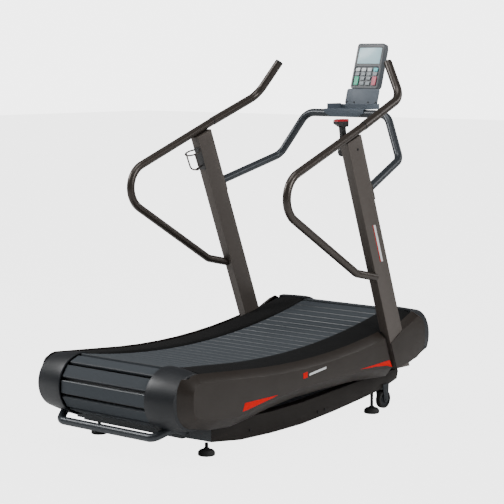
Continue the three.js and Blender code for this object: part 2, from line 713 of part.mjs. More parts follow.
// Ring, wire loop and band on the rear face of the upright, drawn for the right and mirrored.
const bottleCage = () => {
    const wire = 3.5;
    const lean = POST_LEAN;
    const faceY = postRearY(CAGE_Z);
    const placed = (geometry) => geometry.rotateX(lean).translate(401, faceY - GAP, CAGE_Z);
    const ring = new THREE.TorusGeometry(32.5, wire, 8, 24).translate(0, -36, 0);
    const loop = tube([
        point(-26, -50, 0), point(-26, -46, -75), point(26, -46, -75), point(26, -50, 0),
    ], [16, 16], wire, 8, 4);
    const base = tube([point(0, -46, -75), point(0, -4, -75)], [], wire, 8);
    const band = box(-19, 19, -5, 0, -92, 8);
    const stay = box(-12, 12, -9, -2, -4, 4);
    return join(...[ring, loop, base, band, stay].map(placed));
};

// ---------------------------------------------------------------- feet and wheels

const levellingFoot = (y) => {
    const studTop = beamZ(y) - 1.5;
    return turnedZ([
        [0, 0], [FOOT_PAD_RADIUS - 3, 0], [FOOT_PAD_RADIUS, 4], [FOOT_PAD_RADIUS, 14],
        [FOOT_PAD_RADIUS - 6, FOOT_PAD_HEIGHT], [STUD_RADIUS, FOOT_PAD_HEIGHT],
        [STUD_RADIUS, studTop], [0, studTop],
    ]);
};

const WHEEL_IN = 281;
const WHEEL_OUT = BEAM_OUT - 0.5;
const AXLE_RADIUS = 6;

const transportWheel = () => turnedX([
    [WHEEL_IN, AXLE_RADIUS + 0.6], [WHEEL_IN, 34], [WHEEL_IN + 3, WHEEL_RADIUS],
    [WHEEL_OUT - 3, WHEEL_RADIUS], [WHEEL_OUT, 34], [WHEEL_OUT - 3, 30], [WHEEL_OUT - 3, 24],
    [WHEEL_OUT, 20], [WHEEL_OUT, AXLE_RADIUS + 0.6],
], 28);

const wheelBracket = () => {
    const outline = [[-14, 0], [-9, -12], [9, -12], [14, 0], [18, 68], [-24, 68]];
    const outer = sidePlate(outline, BEAM_OUT + GAP, BEAM_OUT + 4.3);
    const inner = sidePlate([[-19, 0], [-12, -16], [12, -16], [19, 0], [24, 50], [-28, 44]], 274, 278);
    return join(outer, inner, rodX(274, BEAM_OUT + 6, AXLE_RADIUS, 12));
};

// ---------------------------------------------------------------- assembly

const treadmill = new THREE.Group();
treadmill.name = 'curved_manual_treadmill';

const place = (parent, name, geometry, material, at = [0, 0, 0]) => {
    const mesh = new THREE.Mesh(geometry, material);
    mesh.name = name;
    mesh.position.set(...at);
    parent.add(mesh);
};

const placePair = (name, geometry, material, at = [0, 0, 0]) => {
    place(treadmill, `${name}_right`, geometry, material, at);
    place(treadmill, `${name}_left`, mirrored(geometry), material, [-at[0], at[1], at[2]]);
};

const consoleGroup = new THREE.Group();
consoleGroup.position.copy(CONSOLE_AT);
consoleGroup.rotation.x = Math.PI / 2 - CONSOLE_LEAN;
treadmill.add(consoleGroup);

placePair('side_beam', sideBeam(), BROWN);
place(treadmill, 'rear_cross_member', rearCrossMember(), BLACK_PAINT);
place(treadmill, 'front_cross_member', frontCrossMember(), BLACK_PAINT);
placePair('chassis_plate', sidePlateChassis(), BLACK_PAINT);

place(treadmill, 'slat_belt', slatBelt(), SLAT_RUBBER);
place(treadmill, 'rear_drum', drum(-PLATE_OUT - 12), STEEL, [0, REAR_DRUM_Y, REAR_DRUM_Z]);
const drumPulley = rodX(-PULLEY_OUT, -PULLEY_IN, DRUM_PULLEY, 24);
place(treadmill, 'front_drum', drum(-PULLEY_OUT - 3, drumPulley), STEEL, [0, FRONT_DRUM_Y, FRONT_DRUM_Z]);
place(treadmill, 'flywheel', flywheel(), IRON, [0, FLYWHEEL_Y, FLYWHEEL_Z]);
place(treadmill, 'magnet_yoke', magnetYoke(), STEEL, [0, FLYWHEEL_Y, FLYWHEEL_Z]);
place(treadmill, 'drive_belt', driveBelt(), DRIVE_RUBBER);

placePair('side_panel', sidePanel(), BROWN);
placePair('front_side_cover', frontSideCover(), BROWN);
placePair('rear_cap', rearCap(), BLACK_PLASTIC);
placePair('front_cap', frontCap(), BLACK_PLASTIC);
placePair('foot_rail', cut(footRail(), post(GAP)), TREAD);

placePair('post', post(), BROWN);
placePair('handrail', handrail(), BLACK_PAINT);
placePair('horn', horn(), BLACK_PAINT);
place(treadmill, 'console_bar', consoleBar(), BLACK_PAINT);
place(treadmill, 'console_tray', consoleTray(), BLACK_PAINT);
place(treadmill, 'lift_handle', liftHandle(), BLACK_PAINT);

place(consoleGroup, 'console_bracket', consoleBracket(), BLACK_PAINT);
place(consoleGroup, 'console_housing', consoleHousing(), GREY_PLASTIC);
place(consoleGroup, 'console_back', consoleBack(), BLACK_PLASTIC);
place(consoleGroup, 'screen', screen(), GLASS);
KEYS.forEach(({ x, y, tall, colour }, i) => {
    const halfHeight = tall ? (ROW[2] - ROW[3]) / 2 + 8 : 8;
    const name = `key_${String(i + 1).padStart(2, '0')}`;
    place(consoleGroup, name, key(11, halfHeight), KEY_COLOURS[colour], [x, y, 0]);
});

place(treadmill, 'lever_hub', leverHub(), LEVER_PLASTIC);
place(treadmill, 'lever_arm', leverArm(), LEVER_PLASTIC, [0, LEVER_Y, LEVER_Z]);
place(treadmill, 'bottle_cage', mirrored(bottleCage()), BLACK_PAINT);

placePair('rear_foot', levellingFoot(REAR_FOOT_Y), DRIVE_RUBBER, [FOOT_X, REAR_FOOT_Y, 0]);
placePair('front_foot', levellingFoot(FRONT_FOOT_Y), DRIVE_RUBBER, [FOOT_X, FRONT_FOOT_Y, 0]);
placePair('transport_wheel', transportWheel(), DRIVE_RUBBER, [0, WHEEL_Y, WHEEL_Z]);
placePair('wheel_bracket', wheelBracket(), BROWN, [0, WHEEL_Y, WHEEL_Z]);

export default treadmill;
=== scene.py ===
"""Looks of a curved manual treadmill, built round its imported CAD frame.

Lengths in the code are millimetres and are turned into metres where a mesh is made.
"""

import json
import logging
import math
from collections.abc import Callable, Sequence
from dataclasses import dataclass, field
from enum import Enum

import bmesh
import bpy
from mathutils import Matrix, Vector

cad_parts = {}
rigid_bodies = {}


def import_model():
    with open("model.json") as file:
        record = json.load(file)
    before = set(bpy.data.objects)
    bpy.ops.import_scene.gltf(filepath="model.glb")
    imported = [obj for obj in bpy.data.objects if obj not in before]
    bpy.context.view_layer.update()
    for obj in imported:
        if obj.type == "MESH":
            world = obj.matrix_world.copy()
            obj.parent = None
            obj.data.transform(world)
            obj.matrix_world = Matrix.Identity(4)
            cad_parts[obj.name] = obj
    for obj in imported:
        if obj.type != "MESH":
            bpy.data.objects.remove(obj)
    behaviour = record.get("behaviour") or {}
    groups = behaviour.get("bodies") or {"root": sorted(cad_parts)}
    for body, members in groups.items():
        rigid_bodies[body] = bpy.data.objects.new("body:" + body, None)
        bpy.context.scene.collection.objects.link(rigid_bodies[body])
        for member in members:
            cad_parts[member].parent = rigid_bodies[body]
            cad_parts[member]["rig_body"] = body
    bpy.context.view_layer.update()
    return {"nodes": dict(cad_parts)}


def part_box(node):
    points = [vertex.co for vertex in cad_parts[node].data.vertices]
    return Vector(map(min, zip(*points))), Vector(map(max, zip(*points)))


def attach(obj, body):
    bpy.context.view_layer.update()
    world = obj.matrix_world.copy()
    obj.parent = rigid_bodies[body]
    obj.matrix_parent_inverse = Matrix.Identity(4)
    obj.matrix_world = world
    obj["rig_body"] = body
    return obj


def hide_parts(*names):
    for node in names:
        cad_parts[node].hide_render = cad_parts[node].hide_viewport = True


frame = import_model()

LOG = logging.getLogger("treadmill")
MM = 0.001
SIDES = {"right": 1.0, "left": -1.0}
Colour = tuple[float, float, float]
Point = tuple[float, float, float]
Outline = list[tuple[float, float]]
AHEAD = Vector((0, 1, 0))
UP = Vector((0, 0, 1))


# ---------------------------------------------------------------- shader graph


class Maths(Enum):
    """Math node operations."""

    ADD = "ADD"
    SUBTRACT = "SUBTRACT"
    MULTIPLY = "MULTIPLY"
    DIVIDE = "DIVIDE"


class Socket:
    """An output socket with arithmetic, so that shader maths reads as a formula."""

    def __init__(self, graph: "Graph", socket: bpy.types.NodeSocket) -> None:
        """Wraps one output socket of a graph."""
        self.graph = graph
        self.socket = socket

    def _with(self, operation: Maths, left: "Socket | float", right: "Socket | float") -> "Socket":
        """Adds one Math node for left and right."""
        return self.graph.add("ShaderNodeMath", {0: left, 1: right}, operation=operation.value)

    def __add__(self, other: "Socket | float") -> "Socket":
        """Sum."""
        return self._with(Maths.ADD, self, other)

    def __radd__(self, other: float) -> "Socket":
        """Sum with a number on the left."""
        return self._with(Maths.ADD, other, self)

    def __sub__(self, other: "Socket | float") -> "Socket":
        """Difference."""
        return self._with(Maths.SUBTRACT, self, other)

    def __rsub__(self, other: float) -> "Socket":
        """Difference with a number on the left."""
        return self._with(Maths.SUBTRACT, other, self)

    def __mul__(self, other: "Socket | float") -> "Socket":
        """Product."""
        return self._with(Maths.MULTIPLY, self, other)

    def __rmul__(self, other: float) -> "Socket":
        """Product with a number on the left."""
        return self._with(Maths.MULTIPLY, other, self)

    def __truediv__(self, other: "Socket | float") -> "Socket":
        """Quotient."""
        return self._with(Maths.DIVIDE, self, other)

    def __rtruediv__(self, other: float) -> "Socket":
        """Quotient with a number on the left."""
        return self._with(Maths.DIVIDE, other, self)


class Graph:
    """The node graph of a material or a world."""

    def __init__(self, owner: bpy.types.ID) -> None:
        """Starts an empty graph in its owner."""
        owner.use_nodes = True
        self.tree = owner.node_tree
        self.tree.nodes.clear()

    def add(self, kind: str, inputs: dict, output: int | str | None = 0, **settings: object) -> Socket:
        """Adds any node.

        Args:
            kind: the node's type name.
            inputs: value or Socket for each input, by index or name.
            output: which output to return, None for a node without outputs.
            settings: node properties, set before the inputs.

        Returns:
            The chosen output.
        """
        node = self.tree.nodes.new(kind)
        for key, value in settings.items():
            setattr(node, key, value)
        for key, value in inputs.items():
            if isinstance(value, Socket):
                self.tree.links.new(value.socket, node.inputs[key])
            else:
                node.inputs[key].default_value = value
        return Socket(self, None if output is None else node.outputs[output])

    def place(self) -> Socket:
        """Object-space position."""
        return self.add("ShaderNodeTexCoord", {}, output="Object")

    def noise(self, scale: float, detail: float = 3.0, stretch: Point = (1.0, 1.0, 1.0)) -> Socket:
        """Noise between 0 and 1 of a given scale per metre, stretched along the axes."""
        vector = self.add("ShaderNodeMapping", {"Vector": self.place(), "Scale": stretch})
        return self.add("ShaderNodeTexNoise", {"Vector": vector, "Scale": scale, "Detail": detail}, output=0)

    def spread(self, value: Socket, low: float, high: float) -> Socket:
        """Maps the useful part of a noise value to low..high."""
        inputs = {"Value": value, "From Min": 0.3, "From Max": 0.7, "To Min": low, "To Max": high}
        return self.add("ShaderNodeMapRange", inputs)

    def mix(self, first: "Socket | Colour", second: "Socket | Colour", factor: "Socket | float") -> Socket:
        """Blends two colours."""
        pair = [(*c, 1.0) if isinstance(c, tuple) else c for c in (first, second)]
        inputs = {"Factor": factor, 6: pair[0], 7: pair[1]}
        return self.add("ShaderNodeMix", inputs, output=2, data_type="RGBA")

    def bump(self, height: Socket, distance: float, strength: float = 1.0) -> Socket:
        """Normal raised by a height field."""
        return self.add("ShaderNodeBump", {"Height": height, "Distance": distance, "Strength": strength})

    def seen(self) -> Socket:
        """1 for what is seen directly, 0 for light that bounces."""
        return self.add("ShaderNodeLightPath", {}, output="Is Camera Ray")

    def end(self, shader: Socket, kind: str = "ShaderNodeOutputMaterial") -> None:
        """Links a shader to a new output node."""
        self.add(kind, {"Surface": shader}, output=None)


# ---------------------------------------------------------------- finishes


@dataclass(frozen=True)
class Finish:
    """One surface finish: a colour with mottling, a roughness with smudges, a fine grain, and an optional
    glow of painted light.
    """

    name: str
    colour: Colour
    roughness: float
    metallic: float = 0.0
    coat: float = 0.0
    second: Colour | None = None
    mottle_scale: float = 9.0
    smudge: float = 0.05
    grain_scale: float = 900.0
    grain_depth: float = 0.00002
    grain_stretch: Point = (1.0, 1.0, 1.0)
    specular: float = 0.5
    glow: float = 0.0

    def material(self) -> bpy.types.Material:
        """The finish as a material, made once.

        A material that is already loaded under this name is returned as it is, and the
        values of the finish then have no effect on it.

        Returns:
            The loaded or new material.
        """
        found = bpy.data.materials.get(self.name)
        if found:
            return found
        made = bpy.data.materials.new(self.name)
        graph = Graph(made)
        broad = graph.noise(self.mottle_scale, 4.0)
        other = self.second or tuple(c * 0.86 for c in self.colour)
        colour = graph.mix(self.colour, other, graph.spread(broad, 0.0, 1.0))
        roughness = self.roughness + graph.spread(broad, -self.smudge, self.smudge)
        grain = graph.noise(self.grain_scale, 2.0, self.grain_stretch)
        shader = graph.add(
            "ShaderNodeBsdfPrincipled",
            {
                "Base Color": colour,
                "Roughness": roughness,
                "Metallic": self.metallic,
                "Coat Weight": self.coat,
                "Coat Roughness": 0.2,
                "Specular IOR Level": self.specular,
                # emission of the finish's own colour, by glow: painted light on the red paint and the screen
                "Emission Color": colour,
                "Emission Strength": self.glow,
                "Normal": graph.bump(grain, self.grain_depth),
            },
        )
        graph.end(shader)
        return made


BROWN = Finish("brown_paint", (0.036, 0.028, 0.0225), 0.42, 0.35, 0.1, (0.031, 0.024, 0.0195), specular=0.35)
PANEL = Finish(
    "panel_paint", (0.0235, 0.0178, 0.0140), 0.45, 0.2, 0.1, (0.0205, 0.0155, 0.0122), specular=0.35
)
BEAM = Finish("beam_paint", (0.0125, 0.0096, 0.0077), 0.5, 0.2, specular=0.3)
BLACK_SHELL = Finish("black_shell", (0.0085, 0.0105, 0.0135), 0.44, specular=0.42)
BLACK_PAINT = Finish("black_paint", (0.010, 0.011, 0.013), 0.42, 0.1, specular=0.3)
TUBE_PAINT = Finish(
    "tube_paint", (0.046, 0.037, 0.031), 0.36, 0.45, 0.15, (0.040, 0.032, 0.027), specular=0.4
)
COOL_TUBE = Finish("cool_tube_paint", (0.034, 0.040, 0.047), 0.38, 0.3, 0.15, specular=0.4)
TREAD = Finish(
    "rail_tread", (0.0035, 0.0036, 0.0038), 0.75, grain_scale=420.0, grain_depth=0.0009, specular=0.2
)
SLAT = Finish(
    "slat_rubber", (0.0060, 0.0072, 0.0086), 0.32, grain_scale=700.0, grain_depth=0.00004, specular=0.62
)
# lighter colour for the slat chamfers: a painted highlight along each slat edge
SLAT_CHAMFER_PAINTED_HIGHLIGHT = Finish("slat_edge", (0.045, 0.050, 0.056), 0.4)
CARRIER = Finish("carrier_rubber", (0.003, 0.003, 0.003), 0.8, specular=0.1)
STEEL = Finish("bright_steel", (0.45, 0.46, 0.47), 0.3, 0.95, grain_stretch=(0.05, 1.0, 1.0))
DARK_STEEL = Finish("dark_steel", (0.020, 0.020, 0.021), 0.4, 0.6)
IRON = Finish("turned_iron", (0.16, 0.165, 0.17), 0.42, 0.9)
RUBBER = Finish("black_rubber", (0.006, 0.006, 0.0065), 0.7, grain_depth=0.00005, specular=0.25)
GREY = Finish(
    "grey_plastic", (0.035, 0.041, 0.050), 0.5, grain_scale=1400.0, grain_depth=0.00004, specular=0.35
)
SHEET = Finish("console_sheet", (0.085, 0.105, 0.130), 0.45, 0.1, specular=0.35)
# the screen glows strongly: painted light that makes it read near white
DISPLAY_WITH_PAINTED_GLOW = Finish("display", (0.80, 0.98, 0.98), 0.14, second=(0.74, 0.96, 0.97), mottle_scale=14.0, glow=9.0)
LEVER = Finish("lever_plastic", (0.016, 0.019, 0.022), 0.4, specular=0.35)
# the red paint glows faintly: painted light that keeps the red bright
RED_PAINT_WITH_PAINTED_GLOW = Finish("red_paint", (0.60, 0.0, 0.0), 0.55, second=(0.57, 0.0, 0.0), specular=0.1, glow=0.06)
CRIMSON = Finish("crimson_cap", (0.40, 0.002, 0.012), 0.4, specular=0.3)
PALE = Finish("pale_badge", (0.70, 0.71, 0.72), 0.4)
KEY_WHITE = Finish("key_white_finish", (0.72, 0.78, 0.80), 0.4)
KEY_CYAN = Finish("key_cyan_finish", (0.10, 0.62, 0.66), 0.4)
KEY_GREY = Finish("key_grey_finish", (0.33, 0.37, 0.39), 0.45)
KEY_GREEN = Finish("key_green_finish", (0.07, 0.58, 0.36), 0.4)
KEY_RED = Finish("key_red_finish", (0.68, 0.13, 0.19), 0.4)


# ---------------------------------------------------------------- mesh making


class Mesher:
    """Collects geometry in millimetres and turns it into one piece."""

    def __init__(self, name: str) -> None:
        """Starts an empty mesh."""
        self.name = name
        self.bm = bmesh.new()
        self.finishes: list[Finish] = []
        self.current = 0

    def paint(self, finish: Finish) -> "Mesher":
        """Faces made from now on take this finish."""
        if finish not in self.finishes:
            self.finishes.append(finish)
        self.current = self.finishes.index(finish)
        return self

    def skin(
        self,
        rings: list[list[Vector]],
        closed: bool,
        capped: bool,
        strips: Sequence[int] = (),
        strip: int = 0,
    ) -> None:
        """Skins rings of points, each ring a closed loop, with some strips in another finish."""
        made = [[self.bm.verts.new(p) for p in ring] for ring in rings]
        count = len(made[0])
        pairs = list(zip(made, made[1:] + ([made[0]] if closed else []), strict=False))
        for first, second in pairs:
            for i in range(count):
                k = (i + 1) % count
                face = self._face((first[i], first[k], second[k], second[i]))
                if i in strips:
                    face.material_index = strip
        if capped and not closed:
            self._face(tuple(reversed(made[0])))
            self._face(tuple(made[-1]))

    def _face(self, verts: Sequence[bmesh.types.BMVert]) -> bmesh.types.BMFace:
        """One face with the current finish."""
        face = self.bm.faces.new(verts)
        face.material_index = self.current
        return face

    def tube(self, centres: list[Vector], radius: float | list[float], sides: int = 32) -> "Mesher":
        """A round tube along a line of centres.

        Args:
            centres: points of the line.
            radius: one radius, or one for each centre.
            sides: corners of the section.

        Returns:
            This mesher.
        """
        radii = radius if isinstance(radius, list) else [radius] * len(centres)
        ahead = [(b - a).normalized() for a, b in zip(centres, centres[1:], strict=False)]
        between = [(a + b).normalized() for a, b in zip(ahead, ahead[1:], strict=False)]
        tangents = [ahead[0], *between, ahead[-1]]
        side = tangents[0].orthogonal().normalized()
        rings = []
        for centre, tangent, reach in zip(centres, tangents, radii, strict=True):
            side = (side - tangent * side.dot(tangent)).normalized()
            up = tangent.cross(side)
            turn = [2 * math.pi * i / sides for i in range(sides)]
            rings.append([centre + (side * math.cos(a) + up * math.sin(a)) * reach for a in turn])
        self.skin(rings, closed=False, capped=True)
        return self

    def lathe(self, profile: Outline, centre: Point, axis: Point = (1, 0, 0), sides: int = 96) -> "Mesher":
        """Turns a closed profile of (along, radius) about an axis through centre."""
        along = Vector(axis)
        side = along.orthogonal().normalized()
        up = along.cross(side)
        middle = Vector(centre)
        rings = []
        for i in range(sides):
            angle = 2 * math.pi * i / sides
            out = side * math.cos(angle) + up * math.sin(angle)
            rings.append([middle + along * a + out * r for a, r in profile])
        self.skin(rings, closed=True, capped=False)
        return self

    def prism(
        self,
        outline: Outline,
        start: Vector,
        across: Vector,
        up: Vector,
        depth: Vector,
        strips: Sequence[int] = (),
        strip: int = 0,
    ) -> "Mesher":
        """A plate with an outline in the plane of across and up, as thick as depth.

        Args:
            outline: corners as (across, up).
            start: where the outline's origin lies.
            across: first direction of the outline.
            up: second direction of the outline.
            depth: from one face of the plate to the other.
            strips: edges of the outline whose faces take another finish.
            strip: index of that finish.

        Returns:
            This mesher.
        """
        ring = [start + across * a + up * b for a, b in outline]
        self.skin([ring, [p + depth for p in ring]], False, True, strips, strip)
        return self

    def block(self, low: Point, high: Point, turn: Matrix | None = None) -> "Mesher":
        """A block between two corners, turned about its middle."""
        middle = (Vector(low) + Vector(high)) / 2
        size = Vector(high) - Vector(low)
        ways = [Vector((1, 0, 0)), Vector((0, 1, 0)), Vector((0, 0, 1))]
        if turn:
            ways = [turn @ w for w in ways]
        x, y, z = (w * s for w, s in zip(ways, size, strict=True))
        start = middle - (x + y + z) / 2
        return self.prism([(0, 0), (1, 0), (1, 1), (0, 1)], start, x, y, z)

    def cut(self, point: Point, normal: Point) -> "Mesher":
        """Removes what lies on the normal's side of a plane and closes the opening."""
        geometry = [*self.bm.verts, *self.bm.edges, *self.bm.faces]
        bmesh.ops.bisect_plane(
            self.bm, geom=geometry, plane_co=Vector(point), plane_no=Vector(normal), clear_outer=True
        )
        open_edges = [e for e in self.bm.edges if e.is_boundary]
        made = bmesh.ops.edgenet_fill(self.bm, edges=open_edges)
        for face in made["faces"]:
            face.material_index = self.current
        return self

    def piece(
        self,
        body: str = "frame",
        replaces: Sequence[str] = (),
        slot: str = "",
        bevel: float = 0.0,
        mirrored: bool = False,
        smooth: float = 35.0,
    ) -> bpy.types.Object:
        """Makes the object.

        Args:
            body: the CAD body that it rides on.
            replaces: CAD nodes that it stands for.
            slot: the record's material slot, not used.
            bevel: edge rounding in millimetres, 0 for none.
            mirrored: reflects it to the other side.
            smooth: largest angle between faces that shade as one, in degrees.

        Returns:
            The new object.
        """
        scale = Matrix.Diagonal((-MM if mirrored else MM, MM, MM, 1.0))
        bmesh.ops.transform(self.bm, matrix=scale, verts=self.bm.verts)
        bmesh.ops.recalc_face_normals(self.bm, faces=self.bm.faces)
        mesh = bpy.data.meshes.new(self.name)
        self.bm.to_mesh(mesh)
        self.bm.free()
        for finish in self.finishes:
            mesh.materials.append(finish.material())
        piece = bpy.data.objects.new(self.name, mesh)
        bpy.context.scene.collection.objects.link(piece)
        if bevel:
            add_bevel(piece, bevel)
        smooth_by_angle(mesh, smooth)
        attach(piece, body)
        if replaces:
            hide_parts(*replaces)
        return piece


def smooth_by_angle(mesh: bpy.types.Mesh, degrees: float) -> None:
    """Shades faces as one where they meet under an angle."""
    mesh.polygons.foreach_set("use_smooth", [True] * len(mesh.polygons))
    mesh.set_sharp_from_angle(angle=math.radians(degrees))


def add_bevel(piece: bpy.types.Object, width: float, segments: int = 3) -> None:
    """Rounds the sharp edges of a piece by a width in millimetres."""
    bevel = piece.modifiers.new("edge", "BEVEL")
    bevel.width = width * MM
    bevel.segments = segments
    bevel.limit_method = "ANGLE"
    bevel.angle_limit = math.radians(32)
    bevel.harden_normals = True
    bevel.use_clamp_overlap = True


def bent(points: list[Vector], radii: list[float], step: float = 7.5) -> list[Vector]:
    """A line through points with its inner corners rounded.

    Args:
        points: the corners.
        radii: bend radius at each inner corner.
        step: degrees of bend between two points of an arc.

    Returns:
        Points of the line.
    """
    line = [points[0]]
    for before, corner, after, radius in zip(points, points[1:], points[2:], radii, strict=False):
        back = (before - corner).normalized()
        on = (after - corner).normalized()
        opening = back.angle(on)
        setback = radius / math.tan(opening / 2)
        centre = corner + (back + on).normalized() * (radius / math.sin(opening / 2))
        start = corner + back * setback - centre
        end = corner + on * setback - centre
        axis = start.cross(end).normalized()
        sweep = start.angle(end)
        count = max(3, round(math.degrees(sweep) / step))
        line.extend(centre + Matrix.Rotation(sweep * i / count, 3, axis) @ start for i in range(count + 1))
    line.append(points[-1])
    return line


def rounded(outline: Outline, rounds: int = 2) -> Outline:
    """An outline with its corners softened by repeated corner cutting."""
    for _ in range(rounds):
        softer = []
        for (a0, b0), (a1, b1) in zip(outline, outline[1:] + outline[:1], strict=True):
            softer.append((a0 * 0.8 + a1 * 0.2, b0 * 0.8 + b1 * 0.2))
            softer.append((a0 * 0.2 + a1 * 0.8, b0 * 0.2 + b1 * 0.8))
        outline = softer
    return outline


def corner_of(node: str, high: bool, axis: int) -> float:
    """One face of a CAD node's box, in millimetres."""
    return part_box(node)[1 if high else 0][axis] / MM


def centre_of(node: str) -> Vector:
    """The middle of a CAD node's box, in millimetres."""
    low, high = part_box(node)
    return (low + high) / 2 / MM


# ---------------------------------------------------------------- deck


@dataclass(frozen=True)
class DeckArc:
    """The running surface seen from the side, a circular arc."""

    radius: float = 3208.0
    low_y: float = -205.0
    low_z: float = 312.0

    @property
    def centre_z(self) -> float:
        """Height of the arc's centre."""
        return self.low_z + self.radius

    def z(self, y: float) -> float:
        """Height of the surface at y."""
        return self.centre_z - math.sqrt(self.radius**2 - (y - self.low_y) ** 2)

    def rail_z(self, y: float) -> float:
        """Height of the foot rails, which drop a little at the rear."""
        return self.z(y) - 15 * max(0.0, (-430 - y) / 306) ** 2


@dataclass
class SlatDeck:
    """The belt of separate slats on its carrier belts."""

    deck: DeckArc
    outer: float = 115.0
    lift: float = 21.0
    pitch: float = 53.6
    half_width: float = 225.0
    half_slat: float = 25.4
    thickness: float = 11.0
    carrier_x: tuple[float, ...] = (-182.0, 182.0)
    path: list[tuple[Vector, Vector]] = field(default_factory=list)

    def _arc(self, centre: tuple[float, float], radius: float, start: float, end: float, out: float) -> None:
        """Adds an arc of (place, outward normal) pairs to the path."""
        count = max(8, round(abs(end - start) * radius / 4))
        for i in range(count):
            angle = start + (end - start) * i / count
            way = Vector((0.0, math.cos(angle), math.sin(angle)))
            self.path.append((Vector((0.0, *centre)) + way * radius, way * out))

    def trace(self) -> None:
        """Traces the carrier's pitch line: the arc on top, then each drum, then the return run."""
        rear = centre_of("rear_drum")
        front = centre_of("front_drum")
        middle = (self.deck.low_y, self.deck.centre_z)
        rear_up = math.atan2(middle[1] - rear.z, middle[0] - rear.y)
        front_up = math.atan2(middle[1] - front.z, middle[0] - front.y)
        lower = math.atan2(front.z - rear.z, front.y - rear.y) - math.pi / 2
        turn = math.pi
        reach = self.outer - self.lift - 2.6
        self._arc(middle, self.deck.radius + self.lift + 2.6, turn + rear_up, turn + front_up, -1.0)
        self._arc((front.y, front.z), reach, front_up, lower, 1.0)
        self._arc((rear.y, rear.z), reach, lower, rear_up - 2 * turn, 1.0)

    def places(self) -> list[tuple[Vector, Vector, Vector]]:
        """Evenly spaced (place, normal, tangent) along the closed pitch line."""
        points = [p for p, _ in self.path]
        lengths = [(b - a).length for a, b in zip(points, points[1:] + points[:1], strict=True)]
        total = sum(lengths)
        count = round(total / self.pitch)
        found = []
        at = 0
        walked = 0.0
        for i in range(count):
            goal = total * (i + 0.03) / count
            while walked + lengths[at] < goal:
                walked += lengths[at]
                at += 1
            following = (at + 1) % len(points)
            share = (goal - walked) / lengths[at]
            place = points[at].lerp(points[following], share)
            normal = self.path[at][1].lerp(self.path[following][1], share).normalized()
            found.append((place, normal, Vector((1, 0, 0)).cross(normal)))
        return found

    def _slat(self, mesher: Mesher, place: Vector, normal: Vector, tangent: Vector) -> None:
        """One slat: a flat top with two chamfers, over a narrow web; the chamfers carry a lighter painted
        highlight.
        """
        half, top = self.half_slat, self.lift
        outline = [(-half, top - self.thickness), (-half, top - 2.6), (-half + 2.4, top - 0.3)]
        outline += [(half - 2.4, top - 0.3), (half, top - 2.6), (half, top - self.thickness)]
        outline += [(8.0, top - self.thickness), (8.0, 3.0), (-8.0, 3.0), (-8.0, top - self.thickness)]
        start = place - Vector((self.half_width, 0, 0))
        along = Vector((self.half_width * 2, 0, 0))
        # strips 1 and 3 are the two chamfers, which take the painted highlight finish
        mesher.prism(outline, start, tangent, normal, along, strips=(1, 3))

    def build(self) -> None:
        """Makes the slats and carriers."""
        self.trace()
        # finish 0 is the painted highlight on the chamfers, finish 1 the slat rubber
        slats = Mesher("slats").paint(SLAT_CHAMFER_PAINTED_HIGHLIGHT).paint(SLAT)
        for place, normal, tangent in self.places():
            self._slat(slats, place, normal, tangent)
        slats.piece(replaces=["slat_belt"], slot="slat_rubber", smooth=25)
        carriers = Mesher("carrier_belts").paint(CARRIER)
        for x in self.carrier_x:
            rings = [
                [
                    p + Vector((x + dx, 0, 0)) + n * dn
                    for dx, dn in ((-16, -1.0), (16, -1.0), (16, 3.4), (-16, 3.4))
                ]
                for p, n in self.path
            ]
            carriers.skin(rings, closed=True, capped=False)
        carriers.piece(slot="slat_rubber")


# ---------------------------------------------------------------- caps and rails


@dataclass
class EndCaps:
    """The four round shells over the belt's ends, beside it."""

    wall: float = 4.0
    rail_rear: float = -700.3
    rail_front: float = 622.3
    skirt: Point = (0.0, 690.0, 230.0)
    skirt_way: Point = (0.0, 0.36, -0.93)

    def _profile(self, inner: float, outer: float, radius_in: float, radius_out: float) -> Outline:
        """Shell section from the belt side outwards, bowed and rounded at its outer edge."""
        count = 18
        outside = []
        for i in range(count + 1):
            t = i / count
            bow = math.sin(math.pi * t) * 2.0
            fall = (radius_in - radius_out) * t**1.25
            outside.append((inner + (outer - inner) * t, radius_in - fall + bow * (1 - t)))
        outside[0] = (inner + 0.2, radius_in - 2.0)
        outside[1] = (inner + 2.0, radius_in - 0.4)
        outside[-1] = (outer - 1.2, radius_out)
        inside = [(a, r - self.wall) for a, r in reversed(outside[:-1])]
        return [*outside, (outer, radius_out - 1.5), (outer, 55.0), (outer - 3.0, 55.0), *inside]

    def build(self) -> None:
        """Makes each shell as a half turn, closed where it meets the foot rail."""
        for end, keep, tip in (("rear", 1.0, 107.0), ("front", -1.0, 120.0)):
            node = f"{end}_cap_right"
            drum = centre_of(f"{end}_drum")
            inner, outer = corner_of(node, False, 0), corner_of(node, True, 0)
            edge = self.rail_rear if end == "rear" else self.rail_front
            for side, sign in SIDES.items():
                shell = Mesher(f"{end}_end_cap_{side}").paint(BLACK_SHELL)
                shell.lathe(self._profile(inner, outer, 122.6, tip), (0, drum.y, drum.z), sides=180)
                shell.cut((0, edge, 0), (0, keep, 0))
                if end == "front":
                    shell.cut(self.skirt, self.skirt_way)
                shell.piece(
                    replaces=[f"{end}_cap_{side}"], slot="black_plastic", mirrored=sign < 0, smooth=40
                )


